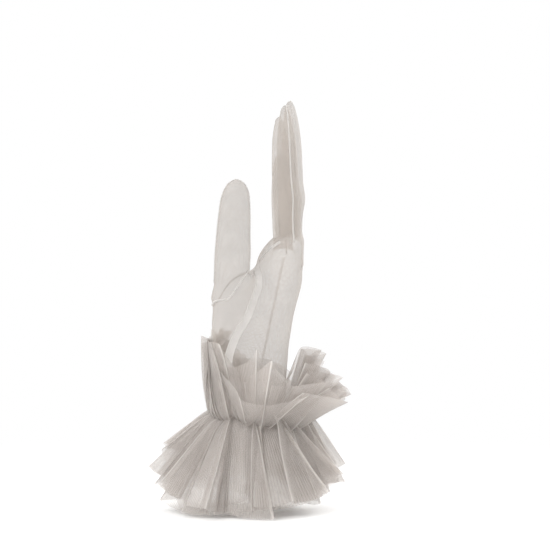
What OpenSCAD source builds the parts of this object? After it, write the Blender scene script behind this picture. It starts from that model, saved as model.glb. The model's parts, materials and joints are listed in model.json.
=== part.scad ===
// Sheer tulle dress glove for the right hand, in its worn shape.
// A gathered double ruffle flares from the wrist.
// Millimetres. +Z runs up the fingers, +X is the back of the hand, -Y is the thumb side.
// The origin is the centre of the wrist opening, level with the gathering thread.

/* [Wrist] */
// Radius of the wrist opening inside the elastic casing
wrist_r = 21.4; // [20.6:0.2:22.4]
// Height of the elastic casing
casing_h = 10; // [8:0.5:10.5]
// Radius of the gathering thread
thread_r = 0.3; // [0.2:0.05:0.35]

/* [Hand] */
// Height of the index finger's fold line above the wrist
knuckle_z = 119; // [116:0.5:121]
// Height of the thumb's fold line above the wrist
thumb_fold_z = 98; // [97:0.5:100]
// Wall of the glove's simple solids
wall = 1; // [0.8:0.1:1.2]
// Width of the flat seam on the thumb side
side_seam_w = 4.5; // [3.5:0.5:5]
// Width of the flat seam on the little finger's side
little_seam_w = 2.5; // [2:0.5:4]

/* [Fingers] */
// Length of the index finger from fold line to tip
index_len = 92; // [84:1:96]
// Length of the middle finger
middle_len = 96; // [90:1:100]
// Length of the ring finger
ring_len = 90; // [82:1:94]
// Length of the little finger
little_len = 74; // [66:1:80]
// Length of the thumb
thumb_len = 62; // [56:1:66]
// Half the width of the middle finger, which the other fingers follow
finger_half_w = 8.2; // [7.8:0.1:8.2]
// Thickness of a finger's seam
finger_seam_t = 1.2; // [0.8:0.1:1.4]

/* [Ruffle] */
// Free length of the longest pleats above the gathers
frill_up = 56; // [48:1:60]
// Free length of the longest pleats below the gathers
frill_down = 64; // [56:1:68]
// Number of pleats round a ruffle strip
pleats = 24; // [20:1:28]
// How far a pleat stands in and out at its free edge
pleat_depth = 3; // [1:0.5:3.5]
// Thickness of a ruffle strip's simple solid
ruffle_t = 0.5; // [0.4:0.05:0.55]

/* [Hidden] */

tulle = [0.86, 0.83, 0.80];
stitch = [0.95, 0.94, 0.92];
edge_gap = 0.3;                 // between a panel's edge and the seam beside it
panel_foot_z = casing_h / 2 + 0.4;

// Outline of the hand at each height: palm, back, thumb side and little finger's side.
palm_x = [[5, -22.4], [30, -18], [54, -10], [75, -3], [95, 2], [110, 4.5], [119, 11]];
back_x = [[5, 22.4], [40, 24.2], [60, 26.5], [80, 30.5], [90, 34.5], [105, 34.2], [121, 34]];
thumb_y = [[5, -22.4], [30, -25], [54, -28], [80, -31], [121, -31]];
little_y = [[5, 22.4], [30, 28], [54, 34], [80, 38], [100, 37.5], [121, 35.6]];
// How far the ball of the thumb swells out of the palm. It ends in a shelf under the thumb.
thenar = [[12, 0], [32, 11], [54, 20], [75, 28], [90, 29], [94, 27], [96, 20], [97, 8], [98, 0]];
thenar_angle = 228;
thenar_full = 0.75;             // share above which the swelling keeps its whole height
thenar_slope = 30;              // how much lower it ends where its share is none
thenar_aside = 0.75;            // how far it swells towards the thumb side for each step forwards
corner = [[5, 1], [30, 0.86], [60, 0.8]];   // under 1 squares the hand's outline
// Angle of the seam on the thumb side, which crosses from the palm at the wrist to the index finger.
seam_angle = [
  [5, 248], [35, 248], [51, 254], [63, 265], [72, 269], [80, 270],
  [88, 264], [92, 260], [96, 259], [106, 263], [121, 270]
];
little_seam_angle = 90;

function mix(a, b, t) = a + (b - a) * t;
function signed_pow(v, p) = sign(v) * pow(abs(v), p);

// ---- Fingers -------------------------------------------------------------------------------
// Each finger: fold height, length, y at fold, y at tip, x at fold, x halfway, x at tip,
// half depth (front to back), half width.
index = [knuckle_z, index_len, -21.8, -24, 26, 24.2, 22.6, 8.3, finger_half_w - 0.1];
middle = [knuckle_z + 1, middle_len, -4.6, -5, 26, 28.8, 25.8, 8.3, finger_half_w];
ring = [knuckle_z - 2, ring_len, 12.4, 13.5, 24.5, 20.8, 18.6, 8.1, finger_half_w - 0.4];
little = [knuckle_z - 11, little_len, 28.2, 31.5, 22.5, 19.6, 18.4, 7.3, finger_half_w - 1.2];
thumb = [thumb_fold_z, thumb_len, -37.5, -50, -11.8, -10.8, -8.4, 12, 9.2];
// Share of the full half depth and half width along a finger, and along the blunter thumb.
finger_taper = [[0, 1], [0.2, 0.99], [0.55, 0.93], [0.75, 0.8], [0.88, 0.58], [0.96, 0.33], [1, 0.14]];
thumb_taper = [[0, 1.02], [0.3, 0.97], [0.75, 0.83], [0.87, 0.72], [0.94, 0.46], [1, 0.12]];
rows = [0, 0.14, 0.3, 0.46, 0.62, 0.76, 0.87, 0.94, 0.975];
arc_steps = 8;
fold_inset = 4.3;               // fold line's distance in from the finger's palm face
thumb_fold_inset = 9;
rim_gap = 0.8;                  // finger's lower rim above the fold line
notch_slope = 1.7;              // rise of the rim on the side that folds
thumb_notch_slope = 1.1;
seam_gap = 0.2;                 // between a finger's seam and its halves

function taper(f) = f == thumb ? thumb_taper : finger_taper;
function along(f, z) = (z - f[0]) / f[1];
function centre_x(f, s) = (1 - s) * (1 - s) * f[4] + 2 * s * (1 - s) * f[5] + s * s * f[6];
function centre_y(f, s) = mix(f[2], f[3], s);
function inset_of_fold(f) = f == thumb ? thumb_fold_inset : fold_inset;
function past_fold(f, a) = max(0, inset_of_fold(f) - f[7] * (1 + cos(a)));
function rim_z(f, a) = f[0] + rim_gap + (f == thumb ? thumb_notch_slope : notch_slope) * past_fold(f, a);
function finger_point(f, a, t, inset) =
  let (z = mix(rim_z(f, a), f[0] + f[1], t),
       s = along(f, z),
       k = lookup(s, taper(f)),
       rx = max(f[7] * k - inset, 0.25),
       ry = max(f[8] * k - inset, 0.25))
  [centre_x(f, s) + rx * cos(a), centre_y(f, s) + ry * sin(a), z];
// Angle from a half's middle to its edge, which stays clear of the seam's straight side.
function half_angle(f, t, inset) =
  let (s = along(f, mix(f[0], f[0] + f[1], t)),
       radius = (f == thumb ? f[8] : f[7]) * lookup(s, taper(f)) - inset)
  acos(min(0.9, (finger_seam_t / 2 + seam_gap) / max(radius, 0.25)));
function half_grid(f, facing, inset) =
  [for (t = rows) [for (i = [-arc_steps / 2:arc_steps / 2])
    finger_point(f, facing + 2 * i / arc_steps * half_angle(f, t, inset), t, inset)]];

// A closed thin solid between two grids of points. A ring grid joins its last column to its first.
module skin(outer, inner, ring = false) {
  m = len(outer);
  n = len(outer[0]);
  last = ring ? n - 1 : n - 2;
  count = m * n;
  points = [for (g = [outer, inner]) for (row = g) each row];
  function id(i, j, side) = side * count + i * n + (j % n);
  walls = [for (i = [0:m - 2]) for (j = [0:last]) each [
    [id(i, j, 0), id(i + 1, j, 0), id(i, j + 1, 0)],
    [id(i, j + 1, 0), id(i + 1, j, 0), id(i + 1, j + 1, 0)],
    [id(i, j, 1), id(i, j + 1, 1), id(i + 1, j, 1)],
    [id(i, j + 1, 1), id(i + 1, j + 1, 1), id(i + 1, j, 1)]]];
  rims = [for (j = [0:last]) each [
    [id(0, j, 0), id(0, j + 1, 0), id(0, j, 1)],
    [id(0, j + 1, 0), id(0, j + 1, 1), id(0, j, 1)],
    [id(m - 1, j, 0), id(m - 1, j, 1), id(m - 1, j + 1, 0)],
    [id(m - 1, j + 1, 0), id(m - 1, j, 1), id(m - 1, j + 1, 1)]]];
  sides = ring ? [] : [for (i = [0:m - 2]) each [
    [id(i, 0, 0), id(i, 0, 1), id(i + 1, 0, 0)],
    [id(i + 1, 0, 0), id(i, 0, 1), id(i + 1, 0, 1)],
    [id(i, n - 1, 0), id(i + 1, n - 1, 0), id(i, n - 1, 1)],
    [id(i + 1, n - 1, 0), id(i + 1, n - 1, 1), id(i, n - 1, 1)]]];
  polyhedron(points, concat(walls, rims, sides));
}

module finger_half(f, facing) {
  color(tulle) skin(half_grid(f, facing, 0), half_grid(f, facing, wall));
}

// A finger's seam runs up one side, over the tip and down the other side, between the two halves.
module finger_seam(f, side_angle) {
  color(stitch) skin(seam_grid(f, side_angle, -0.2), seam_grid(f, side_angle, wall));
}

function seam_grid(f, side_angle, inset) =
  let (across = side_angle == 90 ? [finger_seam_t / 2, 0, 0] : [0, finger_seam_t / 2, 0],
       up = [for (t = rows) finger_point(f, side_angle + 180, t, inset)],
       down = [for (i = [len(rows) - 1:-1:0]) finger_point(f, side_angle, rows[i], inset)],
       tip = [[centre_x(f, 1), centre_y(f, 1), f[0] + f[1] - inset - 0.2]],
       path = concat(up, tip, down))
  [for (p = path) [p - across, p + across]];

// ---- Hand ----------------------------------------------------------------------------------
hand_levels = [0, 0.14, 0.28, 0.42, 0.56, 0.7, 0.82, 0.91, 0.96, 0.98, 0.992, 1];
top_levels = [0.35, 0.7, 1];
shelf_z = 98;
hand_steps = 16;
// Height of the hand's top rim from the thumb side to the little finger's side.
top_y = [[-31, -2], [-13.4, -2], [-12.4, -1], [3, -1], [4.6, -4], [19.4, -4], [21.4, -13], [36, -13]];
top_slope = 0.6;                // fall of the rim on the palm side, where the fingers fold
hole_h = 12;
hole_shift = [0.6, 1.5];
thumb_hole_r = 8.4;

function thenar_share(a) = pow(max(0, cos(a - thenar_angle)), 3);
function hand_xy(a, z, inset) =
  let (x0 = lookup(z, palm_x), x1 = lookup(z, back_x),
       y0 = lookup(z, thumb_y), y1 = lookup(z, little_y),
       square = lookup(z, corner),
       share = thenar_share(a),
       push = share * lookup(z + inset + thenar_slope * max(0, thenar_full - share), thenar))
  [(x0 + x1) / 2 + ((x1 - x0) / 2 - inset) * signed_pow(cos(a), square) - push,
   (y0 + y1) / 2 + ((y1 - y0) / 2 - inset) * signed_pow(sin(a), square) - thenar_aside * push];
function top_z(a) =
  let (p = hand_xy(a, knuckle_z - 4, 0))
  knuckle_z + lookup(p[1], top_y) - top_slope * max(0, index[4] - fold_inset - p[0]);
function levels(a) = concat(
  [for (t = hand_levels) mix(panel_foot_z, shelf_z, t)],
  [for (t = top_levels) mix(shelf_z, top_z(a), t)]);
// Angle of a column that keeps its place between the two side seams as the thumb side's seam wanders.
function column(share, z, gap_little, gap_thumb) =
  mix(little_seam_angle + gap_little, lookup(z, seam_angle) - gap_thumb, share);
function back_column(share, z, gap_little, gap_thumb) =
  mix(lookup(z, seam_angle) + gap_thumb, 360 + little_seam_angle - gap_little, share);
function deg_at(w, z) = w / (0.5 * (lookup(z, little_y) - lookup(z, thumb_y))) * 180 / PI;
function hand_point(a, z, inset) = let (p = hand_xy(a, z, inset)) [p[0], p[1], z];
function palm_grid(inset) = let (rows_z = [for (i = [0:hand_steps]) levels(mix(90, 270, i / hand_steps))])
  [for (r = [0:len(rows_z[0]) - 1]) [for (i = [0:hand_steps])
    let (z = rows_z[i][r])
    let (g = deg_at(side_seam_w / 2 + edge_gap, z), h = deg_at(little_seam_w / 2 + edge_gap, z))
    hand_point(column(i / hand_steps, z, h, g), z, inset)]];
function back_grid(inset) = let (rows_z = [for (i = [0:hand_steps]) levels(mix(270, 450, i / hand_steps))])
  [for (r = [0:len(rows_z[0]) - 1]) [for (i = [0:hand_steps])
    let (z = rows_z[i][r])
    let (g = deg_at(side_seam_w / 2 + edge_gap, z), h = deg_at(little_seam_w / 2 + edge_gap, z))
    hand_point(back_column(i / hand_steps, z, h, g), z, inset)]];
function band_grid(width, on_thumb_side, inset) =
  let (heights = levels(on_thumb_side ? 270 : 90))
  [for (z = heights) [for (side = [-0.5, 0, 0.5])
    let (a = on_thumb_side ? lookup(z, seam_angle) : little_seam_angle)
    hand_point(a + side * deg_at(width, z), z, inset)]];

module palm_panel() {
  color(tulle) difference() {
    skin(palm_grid(0), palm_grid(wall));
    translate([thumb[4] + hole_shift[0], thumb[2] + hole_shift[1], shelf_z - hole_h / 2])
      cylinder(h = hole_h, r = thumb_hole_r, $fn = 48);
  }
}
module back_panel() { color(tulle) skin(back_grid(0), back_grid(wall)); }
module thumb_side_seam() {
  color(stitch) skin(band_grid(side_seam_w, true, -0.2), band_grid(side_seam_w, true, wall));
}
module little_side_seam() {
  color(stitch) skin(band_grid(little_seam_w, false, -0.2), band_grid(little_seam_w, false, wall));
}

// ---- Wrist ---------------------------------------------------------------------------------
casing_wall = 0.4;
casing_t = 1.6;
elastic_clear = 0.15;
waist_r = wrist_r + casing_t + 0.2;
layer_step = ruffle_t + 0.3;

// A band folded over the elastic: two walls joined by the fold at the top.
module wrist_casing() {
  color(tulle) rotate_extrude($fn = 96) difference() {
    translate([wrist_r, -casing_h / 2]) square([casing_t, casing_h]);
    translate([wrist_r + casing_wall, -casing_h / 2 - 1])
      square([casing_t - 2 * casing_wall, casing_h + 1 - casing_wall]);
  }
}
module wrist_elastic() {
  r = wrist_r + casing_wall + elastic_clear;
  h = casing_h - 2 * casing_wall - 2 * elastic_clear - 0.8;
  color("white") rotate_extrude($fn = 96)
    translate([r, -h / 2]) square([casing_t - 2 * casing_wall - 2 * elastic_clear, h]);
}
module gathering_thread() {
  r = waist_r + 3 * layer_step + thread_r;
  color(stitch) rotate_extrude($fn = 96) translate([r, 0]) circle(r = thread_r, $fn = 24);
}

// ---- Ruffle --------------------------------------------------------------------------------
// Lean from the vertical, then share of the longest pleat, at angles round the wrist from the back.
lean_up = [
  [0, 50], [45, 30], [90, 28], [135, 20], [180, 6], [200, 17],
  [225, 35], [245, 35], [270, 26], [315, 32], [360, 50]
];
lean_down = [
  [0, 41], [45, 34], [90, 30], [135, 38], [180, 48],
  [225, 34], [270, 16], [315, 26], [360, 41]
];
share_up = [
  [0, 0.89], [45, 0.95], [90, 0.9], [135, 0.93], [180, 1],
  [225, 0.9], [270, 0.82], [315, 0.8], [360, 0.89]
];
share_down = [
  [0, 0.8], [45, 0.85], [90, 0.88], [135, 0.88], [180, 0.88],
  [225, 0.94], [270, 1], [315, 0.93], [360, 0.8]
];
strip_rows = [-1, -0.68, -0.36, -0.12, 0, 0.12, 0.36, 0.68, 1];
soft_bend = 6;                  // length over which a pleat turns out of the gathers

// Lean of a layer: the inner layers stand closer to the hand and to the arm.
function lean(layer, a, s) = s > 0
  ? lookup(a, lean_up) * (1 + 0.12 * layer) + 2 * layer
  : lookup(a, lean_down) - 7 * (2 - layer);
function reach(layer, a, s) = (0.86 + 0.07 * layer) *
  (s > 0 ? frill_up * lookup(a, share_up) : frill_down * lookup(a, share_down));
function ruffle_point(layer, i, s, inset) =
  let (a = i * 180 / pleats,
       d = abs(s) * reach(layer, a, s),
       bend = d / (d + soft_bend),
       tilt = lean(layer, a, s) * bend,
       wave = pleat_depth * abs(s) * abs(s) * (i % 2 == 0 ? 1 : -1),
       r = waist_r + layer * layer_step + ruffle_t + d * sin(tilt) + wave * cos(tilt) - inset * cos(tilt),
       z = sign(s) * (d * cos(tilt) - wave * sin(tilt) + inset * sin(tilt)))
  [r * cos(a), r * sin(a), z];
function ruffle_grid(layer, inset) =
  [for (s = strip_rows) [for (i = [0:2 * pleats - 1]) ruffle_point(layer, i, s, inset)]];
module ruffle_strip(layer) {
  color(tulle) skin(ruffle_grid(layer, 0), ruffle_grid(layer, ruffle_t), ring = true);
}

palm_facing = 180;
back_facing = 0;
little_facing = 90;
thumb_facing = 270;

palm_panel();
back_panel();
thumb_side_seam();
little_side_seam();
finger_half(thumb, little_facing);  // thumb_palm_side
finger_half(thumb, thumb_facing);  // thumb_nail_side
finger_seam(thumb, palm_facing);  // thumb_seam
finger_half(index, palm_facing);  // index_palm_side
finger_half(index, back_facing);  // index_back_side
finger_seam(index, little_facing);  // index_seam
finger_half(middle, palm_facing);  // middle_palm_side
finger_half(middle, back_facing);  // middle_back_side
finger_seam(middle, little_facing);  // middle_seam
finger_half(ring, palm_facing);  // ring_palm_side
finger_half(ring, back_facing);  // ring_back_side
finger_seam(ring, little_facing);  // ring_seam
finger_half(little, palm_facing);  // little_palm_side
finger_half(little, back_facing);  // little_back_side
finger_seam(little, little_facing);  // little_seam
wrist_casing();
wrist_elastic();
gathering_thread();
ruffle_strip(0);  // ruffle_inner
ruffle_strip(1);  // ruffle_middle
ruffle_strip(2);  // ruffle_outer
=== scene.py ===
"""Looks of a sheer tulle dress glove: a worn net hand with its seams, and a gathered double ruffle.

Lengths are millimetres until a mesh is made. +X is the back of the hand, -Y the thumb side, +Z runs
up the fingers. The hand's shape is measured from the CAD nodes and drawn again as one smooth surface,
which is then cut along the real seam lines into the glove's pattern pieces.
"""

import json
import math

import bpy
import numpy as np
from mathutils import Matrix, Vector
from mathutils.bvhtree import BVHTree


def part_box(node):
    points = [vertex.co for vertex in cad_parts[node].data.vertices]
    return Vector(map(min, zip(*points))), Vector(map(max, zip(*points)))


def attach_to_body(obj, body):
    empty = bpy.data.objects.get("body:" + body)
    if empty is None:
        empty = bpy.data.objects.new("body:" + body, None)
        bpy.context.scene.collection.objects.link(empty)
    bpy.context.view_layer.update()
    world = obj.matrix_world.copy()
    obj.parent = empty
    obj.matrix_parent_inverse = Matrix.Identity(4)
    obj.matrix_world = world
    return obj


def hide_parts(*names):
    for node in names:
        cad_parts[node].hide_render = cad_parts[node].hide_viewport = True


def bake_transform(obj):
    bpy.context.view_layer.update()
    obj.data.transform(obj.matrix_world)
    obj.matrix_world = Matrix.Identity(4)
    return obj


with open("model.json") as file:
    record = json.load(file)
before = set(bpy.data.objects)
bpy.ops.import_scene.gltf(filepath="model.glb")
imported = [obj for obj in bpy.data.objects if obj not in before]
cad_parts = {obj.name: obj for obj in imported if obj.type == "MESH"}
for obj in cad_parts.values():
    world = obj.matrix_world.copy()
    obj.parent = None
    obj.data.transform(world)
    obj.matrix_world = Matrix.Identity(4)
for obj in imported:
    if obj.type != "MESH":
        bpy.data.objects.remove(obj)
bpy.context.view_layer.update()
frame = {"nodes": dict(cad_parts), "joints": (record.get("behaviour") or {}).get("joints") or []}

MM = 0.001
FINGERS = ("index", "middle", "ring", "little")
DIGITS = FINGERS + ("thumb",)
FOLD = {j["child"]: np.array(j["pos_m"]) / MM for j in frame["joints"]}  # where each digit bends
SEED = 20

# ---- Measuring the CAD nodes -------------------------------------------------


def node_points(*names):
    """Vertices and triangles of CAD nodes, joined, in millimetres."""
    points, triangles, count = [], [], 0
    for name in names:
        mesh = frame["nodes"][name].data
        mesh.calc_loop_triangles()
        points.append(np.array([v.co for v in mesh.vertices]) / MM)
        triangles.append(np.array([t.vertices for t in mesh.loop_triangles]) + count)
        count += len(mesh.vertices)
    return np.vstack(points), np.vstack(triangles)


def smooth_rows(values, sigma, wrap=False):
    """Gaussian smoothing along the first axis, sigma in samples."""
    reach = int(math.ceil(3 * sigma))
    kernel = np.exp(-0.5 * (np.arange(-reach, reach + 1) / sigma) ** 2)
    kernel /= kernel.sum()
    pad = [(reach, reach)] + [(0, 0)] * (values.ndim - 1)
    padded = np.pad(values, pad, mode="wrap" if wrap else "edge")
    return sum(k * padded[i : i + len(values)] for i, k in enumerate(kernel))


def bell(values, middle, spread):
    """A smooth hump: 1 at the middle, 1/e at the spread."""
    return np.exp(-(((values - middle) / spread) ** 2))


def unit(vectors):
    """Each row at a length of 1."""
    return vectors / np.linalg.norm(vectors, axis=1)[:, None]


def slice_box(points, triangles, z):
    """Lowest and highest x and y where the triangles cross a height."""
    low = points[np.concatenate([triangles[:, 0], triangles[:, 1], triangles[:, 2]])]
    high = points[np.concatenate([triangles[:, 1], triangles[:, 2], triangles[:, 0]])]
    crossing = (low[:, 2] - z) * (high[:, 2] - z) < 0
    low, high = low[crossing], high[crossing]
    t = (z - low[:, 2]) / (high[:, 2] - low[:, 2])
    cut = low[:, :2] + t[:, None] * (high[:, :2] - low[:, :2])
    return cut.min(0), cut.max(0)


def side_names(digit):
    """The names of the two pieces that a finger or the thumb is sewn from."""
    return [f"{digit}_palm_side", f"{digit}_nail_side" if digit == "thumb" else f"{digit}_back_side"]


PROFILE_STEP, PROFILE_SMOOTH = 1.0, 3.0
RIM_CLEAR = 13.0  # the solids are measured from here over the fold, clear of their open rims
ROOT_ROWS = 24  # rows over the rim that give the slant of the root
ROOT_DOWN = 40  # how far the tube is carried on below its solid
LEAST_HALF = 1.4
SLIM = 0.55  # how much slimmer the stretched net is than the simple solid, each side
JOINT_RISE, JOINT_SPREAD, JOINT_SWELL = 28.0, 8.0, 0.8  # a finger's middle joint, over its root
TIP_SHORT = 0.4
# A net finger is sewn flat, so it stays wide towards its tip: these powers hold the half width up.
THUMB_FULLNESS, FINGER_FULLNESS = 0.95, 0.65


def measure_digit(digit):
    """Heights, then centre x and y and half sizes in x and y, of a finger's or thumb's tube."""
    points, triangles = node_points(*side_names(digit))
    tip = points[:, 2].max()
    heights = np.arange(FOLD[digit][2] + RIM_CLEAR, tip - 0.5, PROFILE_STEP)
    rows = []
    for z in heights:
        low, high = slice_box(points, triangles, z)
        rows.append(np.concatenate([(low + high) / 2, (high - low) / 2]))
    rows = smooth_rows(np.array(rows), PROFILE_SMOOTH / PROFILE_STEP)
    slant = np.polyfit(heights[:ROOT_ROWS], rows[:ROOT_ROWS, :2], 1)[0]
    below = np.arange(heights[0] - ROOT_DOWN, heights[0], PROFILE_STEP)
    root = np.repeat(rows[:1], len(below), 0)
    root[:, :2] += (below - heights[0])[:, None] * slant
    heights, rows = np.concatenate([below, heights]), np.vstack([root, rows])
    rows[:, 2:] = np.maximum(rows[:, 2:] - SLIM, LEAST_HALF)
    if digit != "thumb":
        joint = JOINT_SWELL * bell(heights, FOLD[digit][2] + JOINT_RISE, JOINT_SPREAD)
        rows[:, 0] += joint
        rows[:, 2] += joint
    across, fullness = (2, THUMB_FULLNESS) if digit == "thumb" else (3, FINGER_FULLNESS)
    widest = rows[:, across].max()
    rows[:, across] = widest * (rows[:, across] / widest) ** fullness
    return {"z": heights, "rows": rows, "tip": tip - TIP_SHORT}


profiles = {digit: measure_digit(digit) for digit in DIGITS}

HAND_FOOT, HAND_TOP, HAND_TOP_Y = 4.2, 121.0, 1.5
OUTLINE_STEP, OUTLINE_DEG = 1.5, 3.0
OUTLINE_SMOOTH, OUTLINE_SMOOTH_DEG = 4.5, 6.0
RAY_START = 90.0
knuckles_x = np.mean([np.interp(FOLD[f][2], profiles[f]["z"], profiles[f]["rows"][:, 0]) for f in FINGERS])


def hand_axis(z):
    """Centre line that the hand's outline is measured from."""
    share = np.clip((z - HAND_FOOT) / (HAND_TOP - HAND_FOOT), 0, 1)
    return knuckles_x * share, HAND_TOP_Y * share


def measure_hand():
    """Distance from the centre line to the hand's outer face, by height and angle."""
    points, triangles = node_points("palm_panel", "back_panel", "thumb_side_seam", "little_side_seam")
    tree = BVHTree.FromPolygons([Vector(p) for p in points], triangles.tolist())
    heights = np.arange(HAND_FOOT, HAND_TOP, OUTLINE_STEP)
    angles = np.radians(np.arange(0, 360, OUTLINE_DEG))
    table = np.full((len(heights), len(angles)), np.nan)
    for i, z in enumerate(heights):
        x0, y0 = hand_axis(z)
        for k, angle in enumerate(angles):
            way = Vector((math.cos(angle), math.sin(angle), 0))
            start = Vector((x0, y0, z)) + way * RAY_START
            hit, _, _, distance = tree.ray_cast(start, -way, RAY_START)
            if hit is not None:
                table[i, k] = RAY_START - distance
    for i in range(1, len(heights)):
        table[i] = np.where(np.isnan(table[i]), table[i - 1], table[i])
    for i in range(len(heights) - 2, -1, -1):
        table[i] = np.where(np.isnan(table[i]), table[i + 1], table[i])
    table = smooth_rows(table, OUTLINE_SMOOTH / OUTLINE_STEP)
    return heights, smooth_rows(table.T, OUTLINE_SMOOTH_DEG / OUTLINE_DEG, wrap=True).T


outline_z, outline = measure_hand()


def hand_radius(angle, z):
    """The measured outline between its heights and angles."""
    row = np.clip((z - outline_z[0]) / OUTLINE_STEP, 0, len(outline_z) - 1.001)
    column = np.degrees(angle) % 360 / OUTLINE_DEG
    i, k = row.astype(int), column.astype(int) % outline.shape[1]
    u, v = row - i, column - np.floor(column)
    near, far = outline[i, k], outline[i, (k + 1) % outline.shape[1]]
    near_up, far_up = outline[i + 1, k], outline[i + 1, (k + 1) % outline.shape[1]]
    return (1 - u) * ((1 - v) * near + v * far) + u * ((1 - v) * near_up + v * far_up)


# ---- The worn shape as one field: negative inside the glove ------------------

FINGER_BLEND, THUMB_BLEND, TOP_BLEND, TIP_BLEND = 5.0, 9.0, 6.0, 1.0
ROOT_DEPTH = 16.0  # each digit fades out this far below its fold
ROOT_FADE = 0.8
TIP_ROUND = {**dict.fromkeys(DIGITS, 4.0), "little": 3.5}
TIP_SQUARE = 0.97
TIP_CREASE = 0.28
TIP_SLACK = 7.0  # how far down from the tip the net is empty
WEB_RISE = 2.0
PALM_RISE, PALM_SLOPE, PALM_EDGE_X = 9.0, 0.95, 22.0
HAND_STEEPNESS = 0.9  # brings the outline's distance nearer to the true one
DRAWN_IN, DRAWN_IN_UP, SLACK_RIPPLE = 0.55, 13.0, 0.07


def smooth_min(a, b, blend):
    """The lower of two fields, rounded over where they cross."""
    h = np.clip(0.5 + 0.5 * (b - a) / blend, 0, 1)
    return b * (1 - h) + a * h - blend * h * (1 - h)


def digit_field(points, digit):
    """Distance from a finger's or thumb's tube, which fades out below its root."""
    profile = profiles[digit]
    x0, y0, half_x, half_y = (np.interp(points[:, 2], profile["z"], row) for row in profile["rows"].T)
    near_tip = np.clip(1 + (points[:, 2] - profile["tip"]) / TIP_ROUND[digit], 0, TIP_SQUARE)
    rounding = np.sqrt(1 - near_tip**2)
    half_x, half_y = half_x * rounding, half_y * rounding
    around = np.hypot((points[:, 0] - x0) / half_x, (points[:, 1] - y0) / half_y)
    field = (around - 1) * np.minimum(half_x, half_y)
    field += ROOT_FADE * np.maximum(0, FOLD[digit][2] - ROOT_DEPTH - points[:, 2])
    # The empty end of a net finger is slack and creases lightly.
    empty = np.exp(-np.maximum(0, profile["tip"] - points[:, 2]) / TIP_SLACK)
    crease = np.sin(1.3 * points[:, 2] + 0.9 * points[:, 0] + 1.7 * points[:, 1])
    field = field + TIP_CREASE * empty * crease
    return -smooth_min(-field, profile["tip"] - points[:, 2], TIP_BLEND)


knuckle_row = np.array(sorted((FOLD[f][1], FOLD[f][2]) for f in FINGERS))


def slack(points):
    """Small folds of net that isn't stretched, deep where the wrist is drawn in and faint over the hand."""
    x, y, z = points.T
    angle = np.arctan2(y, x)
    drawn_in = np.exp(-np.maximum(0, z - HAND_FOOT) / DRAWN_IN_UP)
    folds = np.sin(21 * angle + 1.3 * np.sin(3 * angle)) + 0.4 * np.sin(34 * angle + 2)
    ripple = np.sin(0.31 * z + 2.2 * np.sin(0.05 * x) + 0.12 * y) * np.sin(0.13 * y - 0.09 * x + 1)
    return DRAWN_IN * drawn_in * folds + SLACK_RIPPLE * ripple


def glove_field(points):
    """Distance from the worn glove's surface, less than nothing inside."""
    x0, y0 = hand_axis(points[:, 2])
    dx, dy = points[:, 0] - x0, points[:, 1] - y0
    hand = np.hypot(dx, dy) - hand_radius(np.arctan2(dy, dx), points[:, 2])
    slope = PALM_RISE - PALM_SLOPE * (PALM_EDGE_X - points[:, 0])
    top = np.interp(points[:, 1], *knuckle_row.T) + np.minimum(WEB_RISE, slope)
    hand = -smooth_min(-HAND_STEEPNESS * hand, HAND_STEEPNESS * (top - points[:, 2]), TOP_BLEND)
    fingers = np.min([digit_field(points, f) for f in FINGERS], axis=0)
    field = smooth_min(hand, fingers, FINGER_BLEND)
    return smooth_min(field, digit_field(points, "thumb"), THUMB_BLEND) + slack(points)


def gradient(points, step=0.15):
    """The way that the field rises fastest, which is out of the glove."""
    columns = []
    for axis in np.eye(3) * step:
        columns.append((glove_field(points + axis) - glove_field(points - axis)) / (2 * step))
    return np.array(columns).T


def settle(points, rounds=3):
    """Moves points onto the glove's surface."""
    for _ in range(rounds):
        slope = gradient(points)
        size = np.maximum((slope**2).sum(1), 0.05)
        step = np.clip(glove_field(points) / size, -1.5, 1.5)
        points = points - step[:, None] * slope
    return points


# ---- One even net of quads over the field ------------------------------------

GRID = 1.05
GRID_LOW = (-30.0, -62.0, HAND_FOOT)
GRID_HIGH = (40.0, 46.0, max(profile["tip"] for profile in profiles.values()) + 2)
CORNERS = np.array([(i, j, k) for i in (0, 1) for j in (0, 1) for k in (0, 1)])
EDGES = [(a, b) for a in range(8) for b in range(a + 1, 8) if np.abs(CORNERS[a] - CORNERS[b]).sum() == 1]


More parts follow.
